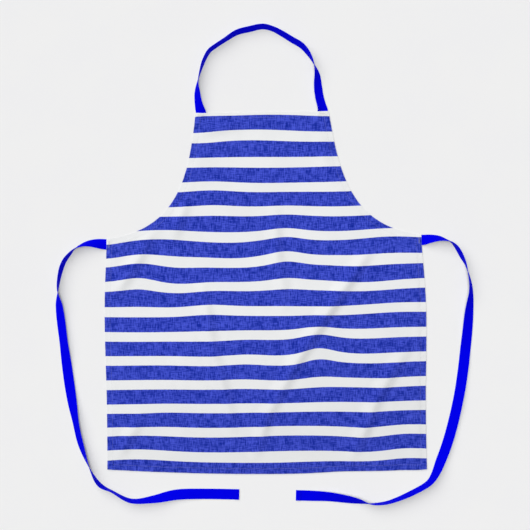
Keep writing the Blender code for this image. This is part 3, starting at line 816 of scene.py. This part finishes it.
def build_cloth(material):
    """The cloth, its seam lines on the face and the back for each side, and its height as a function."""
    rings, spans = edge_rings()
    edge = rings[0]
    edge_tree = KDTree(len(edge))
    for index, point in enumerate(edge):
        edge_tree.insert((*point, 0), index)
    edge_tree.balance()
    grid, grid_insets = inside_grid(edge, edge_tree, rings[-1])
    columns, rows, heights = settle(edge, edge_tree)

    def face_height(x, y):
        settled = height_on_grid(columns, rows, heights, x, y) + CLOTH / 2
        return settled + bulge_height(x, y) + corner_layers(x, y)

    face, back = hem_layers(rings, face_height)
    inner_z = np.maximum(face_height(*grid.T), LOWEST_FACE)
    face_inner = np.column_stack([grid, inner_z])
    back_inner = np.column_stack([grid, inner_z - CLOTH])
    points = np.concatenate([*face, face_inner, *back[1:], back_inner])

    count = len(edge)
    ring_total = len(rings) * count
    back_start = ring_total + len(grid)
    back_inner_start = back_start + ring_total - count
    face_rings = np.arange(ring_total).reshape(len(rings), count)
    back_rings = np.vstack([face_rings[:1], np.arange(back_start, back_inner_start).reshape(-1, count)])
    face_fill = np.concatenate([face_rings[-1], np.arange(len(grid)) + ring_total])
    back_fill = np.concatenate([back_rings[-1], np.arange(len(grid)) + back_inner_start])
    triangles = fill_triangles(rings[-1], grid)
    faces = ring_quads(face_rings)
    faces += [quad[::-1] for quad in ring_quads(back_rings)]
    faces += face_fill[triangles].tolist()
    faces += back_fill[triangles][:, ::-1].tolist()

    wrong_side = np.zeros(len(points))
    wrong_side[back_rings[FOOT_RING:].ravel()] = 1
    wrong_side[back_inner_start:] = 1
    cut = sheet_cut_places(rings, grid, grid_insets)
    sheet = make_piece("apron_cloth", points, faces, material, 60, cut_place=cut, wrong_side=wrong_side)

    seams = {}
    for name, (start, end) in spans.items():
        numbers = np.arange(start, end + 1) % count
        seams[name] = (face[SEAM_RING][numbers], back[SEAM_RING][numbers])
    return sheet, seams, face_height


# Thread

def stitch_row(name, lines, material, pitch=STITCH_PITCH):
    """Rows of stitches along lines. Each line is (points, +1 on the face or -1 on the back)."""
    all_points = []
    all_faces = []
    cut = []
    turns = []
    wrong_side = []
    made = 0
    share = np.linspace(0, 1, STITCH_RINGS)
    rise = -STITCH_SINK + (STITCH_RISE + STITCH_SINK) * np.sin(math.pi * share) ** 0.6
    radius = STITCH_RADIUS * (0.55 + 0.45 * np.sin(math.pi * share) ** 0.5)
    for line, side in lines:
        along = distances_along(line)
        count = int((along[-1] - STITCH_GAP) / pitch)
        starts = (along[-1] - count * pitch) / 2 + np.arange(count) * pitch + STITCH_GAP / 2
        where = starts[:, None] + share * (pitch - STITCH_GAP)
        middle_line = np.stack([np.interp(where, along, column) for column in line.T], axis=-1)
        heading = unit(middle_line[:, -1] - middle_line[:, 0])[:, None]
        up = np.array([0, 0, float(side)])
        sideways = unit(np.cross(up, heading))
        middle_line = middle_line + up * rise[:, None]
        spread = sideways[:, :, None] * np.cos(THREAD_ANGLES)[:, None] + up * np.sin(THREAD_ANGLES)[:, None]
        points = middle_line[:, :, None] + spread * radius[None, :, None, None]
        numbers = np.arange(made, made + count * STITCH_RINGS * THREAD_SIDES)
        made += len(numbers)
        for stitch in numbers.reshape(count, STITCH_RINGS, THREAD_SIDES):
            all_faces += ring_quads(stitch)
            all_faces.append(stitch[0][::-1].tolist())
            all_faces.append(stitch[-1].tolist())
        all_points.append(points.reshape(-1, 3))
        at = np.repeat(middle_line.mean(axis=1), STITCH_RINGS * THREAD_SIDES, axis=0)
        cut.append(cut_place(at, 1))
        ply = share[:, None] * STITCH_TURNS + THREAD_ANGLES / (2 * math.pi)
        turns.append(np.tile(ply.ravel(), count))
        wrong_side.append(np.full(count * ply.size, 0.0 if side > 0 else 1.0))
    return make_piece(name, np.concatenate(all_points), all_faces, material, 75,
                      cut_place=np.concatenate(cut), thread_turns=np.concatenate(turns),
                      wrong_side=np.concatenate(wrong_side))


def bartack(name, place, out, face_height, material):
    """A dense zigzag of thread that fastens a tape end into the hem."""
    place = np.array(place)
    out = np.array(out)
    side = np.array([-out[1], out[0]])
    points = []
    for leg in range(BARTACK_LEGS + 1):
        across = (leg / BARTACK_LEGS - 0.5) * BARTACK_WIDTH
        inset = BARTACK_INSETS[leg % 2]
        spot = place - out * inset + side * across
        height = max(float(face_height(*spot[:, None])[0]), HEM_THICKNESS) + STITCH_RADIUS * 0.5
        points.append((*spot, height + 0.08 * MM * math.sin(leg * 2.4)))
    points = resampled(np.array(points), BARTACK_STEP)
    heading = unit(np.gradient(points, axis=0))
    sideways = unit(np.cross(heading, (0, 0, 1)))
    up = np.cross(sideways, heading)
    spread = (sideways[:, None] * np.cos(THREAD_ANGLES)[:, None]
              + up[:, None] * np.sin(THREAD_ANGLES)[:, None])
    shape = points[:, None] - spread * STITCH_RADIUS
    turns = (distances_along(points)[:, None] / TACK_TURN + THREAD_ANGLES / (2 * math.pi)).ravel()
    flat = shape.reshape(-1, 3)
    return make_piece(name, flat, tube_faces(len(shape), THREAD_SIDES), material, 75,
                      cut_place=cut_place(flat, 1), thread_turns=turns, wrong_side=np.zeros(len(flat)))


# Tapes

def smooth_lay(lay):
    """Many fine points (x, y, roll) along a smooth line through the places of a lay."""
    places = np.array(lay, float)
    gaps = np.linalg.norm(np.diff(places[:, :2], axis=0), axis=1)
    slopes = []
    for index in range(len(places)):
        before = max(index - 1, 0)
        after = min(index + 1, len(places) - 1)
        slopes.append((places[after] - places[before]) / gaps[before:after].sum())
    points = []
    for index, gap in enumerate(gaps):
        t = np.arange(SPLINE_STEPS)[:, None] / SPLINE_STEPS
        start_share = 2 * t ** 3 - 3 * t ** 2 + 1
        start_pull = (t ** 3 - 2 * t ** 2 + t) * gap
        end_pull = (t ** 3 - t ** 2) * gap
        point = places[index] * start_share + places[index + 1] * (1 - start_share)
        points.append(point + slopes[index] * start_pull + slopes[index + 1] * end_pull)
    return np.concatenate([*points, places[-1:]])


def tape_path(lay, outward, at_root, turned_end):
    """Cross-sections along a tape: middles, directions across it and out of its own face, and lengths.

    outward is +1 if the tape's left is the apron's outside. at_root says which ends are sewn in.
    """
    fine = resampled(smooth_lay(lay), TAPE_STEP)
    along = distances_along(fine[:, :2])
    heading = unit(np.gradient(fine[:, :2], axis=0))
    left = np.column_stack([-heading[:, 1], heading[:, 0], np.zeros(len(fine))])
    out = left * outward
    sway = 1.6 * np.sin(along / 0.013 + 0.5) + 1.2 * np.sin(along / 0.031)
    free = np.ones(len(fine))
    from_roots = [distance for distance, rooted in zip((along, along[-1] - along), at_root) if rooted]
    for distance in from_roots:
        free = free * smoothstep(TAIL_LENGTH, TAIL_LENGTH + ROOT_EASE, distance)
    if turned_end:
        free = free * smoothstep(0, 0.05, along[-1] - along)
    roll = np.radians(fine[:, 2] + sway * free)
    rest = (TAPE_WIDTH * np.abs(np.sin(roll)) + TAPE_THICKNESS * SELVEDGE_SHARE * np.abs(np.cos(roll))) / 2
    height = rest
    for distance in from_roots:
        share = 1 - smoothstep(TAIL_LENGTH, TAIL_LENGTH + ROOT_EASE * 0.5, distance)
        height = height + (np.maximum(TAIL_Z, rest) - height) * share
    up = np.array([0, 0, 1.0])
    face = up * np.cos(roll)[:, None] + out * np.sin(roll)[:, None]
    across = out * np.cos(roll)[:, None] - up * np.sin(roll)[:, None]
    middles = np.column_stack([fine[:, :2], height])
    if turned_end:
        forward = np.array([*heading[-1], 0])
        turn = np.linspace(0, math.pi, TURN_STEPS)[1:, None]
        arc = middles[-1] + TURN_LIFT * (forward * np.sin(turn) + up * (1 - np.cos(turn)))
        arc_face = face[-1] * np.cos(turn) + forward * np.sin(turn)
        steps = np.arange(1, round(TURNED_END / TAPE_STEP) + 1)
        run = [arc[-1] - forward * TAPE_STEP * step + up * 0.02 * MM * step for step in steps]
        middles = np.vstack([middles, arc, run])
        face = np.vstack([face, arc_face, [arc_face[-1]] * len(run)])
        across = np.vstack([across, [across[-1]] * (len(arc) + len(run))])
        along = distances_along(middles)
    return middles, across, face, along


def tape_piece(name, path, material):
    """A woven tape with thick selvedges, swept through its cross-sections."""
    middles, across, face, along = path
    half = TAPE_WIDTH / 2
    outer = [(place * half, height * MM) for height, place in SELVEDGE]
    top = outer + [(0.0, SECTION_MIDDLE)] + [(-place, height) for place, height in outer[::-1]]
    section = np.array(top + [(place, -height) for place, height in top[-2:0:-1]])
    cup = TAPE_CUP * (1 - (section[:, 0] / half) ** 2) * np.sin(along / 0.043 + 1.0)[:, None]
    shape = (middles[:, None] + across[:, None] * section[:, 0, None]
             + face[:, None] * (section[:, 1] + cup)[:, :, None])
    faces = tube_faces(len(middles), len(section))
    if np.cross(across[0], face[0]) @ (middles[1] - middles[0]) < 0:
        faces = [corners[::-1] for corners in faces]
    place = np.stack(np.broadcast_arrays(along[:, None], *section.T), axis=-1)
    return make_piece(name, shape.reshape(-1, 3), faces, material, 60, tape_place=place.reshape(-1, 3))


def split_path(path, number):
    """A path's cross-sections up to a number, and from it on."""
    return tuple(part[:number + 1] for part in path), tuple(part[number:] for part in path)


def tail_places(place, out):
    """A lay's places inside the hem, where the tape is flat: its very end, then just inside the edge."""
    place = np.array(place)
    out = np.array(out)
    return [(*(place - out * TAIL_LENGTH), 0), (*(place - out * 2 * MM), 0)]


def end_stitches(name, path, material):
    """A row of stitches across a tie's turned end."""
    middles, across, _, _ = path
    turned_sections = round(TURNED_END / TAPE_STEP)
    inner = middles[-turned_sections]
    spot = inner + (middles[-1] - inner) * END_SEAM_SHARE
    spot = spot + np.array([0, 0, TAPE_THICKNESS / 2])
    reach = across[-1] * (TAPE_WIDTH / 2 - END_SEAM_INSET)
    line = np.array([spot - reach + reach * 2 * share for share in np.linspace(0, 1, 9)])
    return stitch_row(name, [(line, 1)], material, END_STITCH_PITCH)


# Putting the apron together

def nearest_section(path, place):
    return int(np.argmin(np.linalg.norm(path[0][:, :2] - np.array(place), axis=1)))


def assign(piece, slot, *nodes, body=None):
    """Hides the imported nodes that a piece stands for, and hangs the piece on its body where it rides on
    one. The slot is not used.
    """
    if body:
        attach(piece, body)
    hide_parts(*nodes)


def build_tie(side, lay, outward, tape, thread):
    """A tie in two pieces: one from the hem, and the other from a little before its swing, where the tape
    stands on its edge.
    """
    (edge_x, edge_y), out, _ = tape_places()[side + "_tie"]
    whole = [*tail_places((edge_x, edge_y), out), *lay]
    path = tape_path(whole, outward, (True, False), True)
    swing = joint_place(side + "_tie_swing")
    cut = nearest_section(path, swing.xy) - round(TIE_CUT / TAPE_STEP)
    root_path, length_path = split_path(path, cut)
    root = tape_piece(side + "_tie_root_tape", root_path, tape)
    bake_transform(root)
    assign(root, "blue_tape", side + "_tie_root", side + "_tie_sewn_end")
    length = tape_piece(side + "_tie_tape", length_path, tape)
    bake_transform(length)
    assign(length, "blue_tape", side + "_tie")
    row = end_stitches(side + "_tie_end_stitches", path, thread)
    assign(row, "blue_thread", side + "_tie_end_thread", body=side + "_tie_length")


def build_neck_strap(tape):
    places = tape_places()
    left = tail_places(*places["neck_strap_left"][:2])
    right = tail_places(*places["neck_strap_right"][:2])
    path = tape_path([*left, *NECK_STRAP_LAY, *right[::-1]], 1, (True, True), False)
    strap = tape_piece("neck_strap_tape", path, tape)
    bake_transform(strap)
    assign(strap, "blue_tape", "neck_strap", "neck_strap_left_end", "neck_strap_right_end")


def bend_at_waist(piece):
    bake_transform(piece)


def build_apron():
    cloth = cloth_material()
    tape = tape_material()
    white_thread = thread_material("white_thread", None)
    blue_thread = thread_material("blue_thread", BLUE_THREAD)

    sheet, seams, face_height = build_cloth(cloth)
    bend_at_waist(sheet)
    assign(sheet, "striped_cloth", "bib_panel", "skirt_panel")
    for name, (face_line, back_line) in seams.items():
        row = stitch_row(name + "_stitches", [(face_line, 1), (back_line, -1)], white_thread)
        if name in SEAM_BODIES:
            assign(row, "white_thread", name + "_thread", body=SEAM_BODIES[name])
        else:
            bend_at_waist(row)
            assign(row, "white_thread", name + "_thread", name.replace("armhole", "waist") + "_thread")

    for name, (place, out, body) in tape_places().items():
        tack = bartack(name + "_tack", place, out, face_height, white_thread)
        assign(tack, "white_thread", name + "_bartack", body=body)

    build_neck_strap(tape)
    build_tie("left", LEFT_TIE_LAY, -1, tape, blue_thread)
    build_tie("right", RIGHT_TIE_LAY, 1, tape, blue_thread)


# The table, light and camera

def follow_lowest(table):
    """The table stays just under the apron's lowest point, whatever way the apron is folded."""
    group = bpy.data.node_groups.new("under_the_apron", "GeometryNodeTree")
    for way in ("INPUT", "OUTPUT"):
        group.interface.new_socket("Geometry", in_out=way, socket_type="NodeSocketGeometry")
    link = group.links.new
    source, result, pieces, real, box, drop, move = [group.nodes.new(kind) for kind in (
        "NodeGroupInput", "NodeGroupOutput", "GeometryNodeCollectionInfo", "GeometryNodeRealizeInstances",
        "GeometryNodeBoundBox", "ShaderNodeVectorMath", "GeometryNodeSetPosition")]
    pieces.inputs["Collection"].default_value = looks
    drop.operation = "MULTIPLY_ADD"
    drop.inputs[1].default_value = (0, 0, 1)
    drop.inputs[2].default_value = (0, 0, -TABLE_GAP)
    link(pieces.outputs[0], real.inputs[0])
    link(real.outputs[0], box.inputs[0])
    link(box.outputs["Min"], drop.inputs[0])
    link(source.outputs[0], move.inputs["Geometry"])
    link(drop.outputs[0], move.inputs["Offset"])
    link(move.outputs[0], result.inputs[0])
    table.modifiers.new("under_the_apron", "NODES").node_group = group


def build_stage():
    table = level_face("table", (-TABLE_REACH, -TABLE_REACH), (TABLE_REACH, TABLE_REACH))
    table.data.materials.append(floor_material())
    follow_lowest(table)

    for name, strength, spread, (tilt_x, tilt_y) in LIGHTS:
        light = bpy.data.lights.new(name, "SUN")
        light.energy = strength
        light.angle = math.radians(spread)
        lamp = add_object(name, light)
        lamp.rotation_euler = (math.radians(tilt_x), math.radians(tilt_y), 0)

    world = bpy.data.worlds.new("studio")
    world.use_nodes = True
    tree = world.node_tree
    background = tree.nodes["Background"]
    background.inputs["Color"].default_value = (1.0, 1.0, 1.0, 1.0)
    path = tree.nodes.new("ShaderNodeLightPath")
    strength = tree.nodes.new("ShaderNodeMapRange")
    strength.inputs["To Min"].default_value = SKY_LIGHT
    strength.inputs["To Max"].default_value = SKY_SEEN
    tree.links.new(path.outputs["Is Camera Ray"], strength.inputs["Value"])
    tree.links.new(strength.outputs[0], background.inputs["Strength"])
    bpy.context.scene.world = world
    bpy.context.scene.view_settings.view_transform = "Standard"

    lens = bpy.data.cameras.new("camera")
    lens.lens = CAMERA_LENS
    lens.sensor_width = SENSOR
    camera = add_object("camera", lens)
    camera.location = (*VIEW_CENTRE, VIEW_WIDTH * CAMERA_LENS / SENSOR)
    camera.rotation_euler = (0, 0, -VIEW_TURN)
    bpy.context.scene.camera = camera


build_apron()
build_stage()
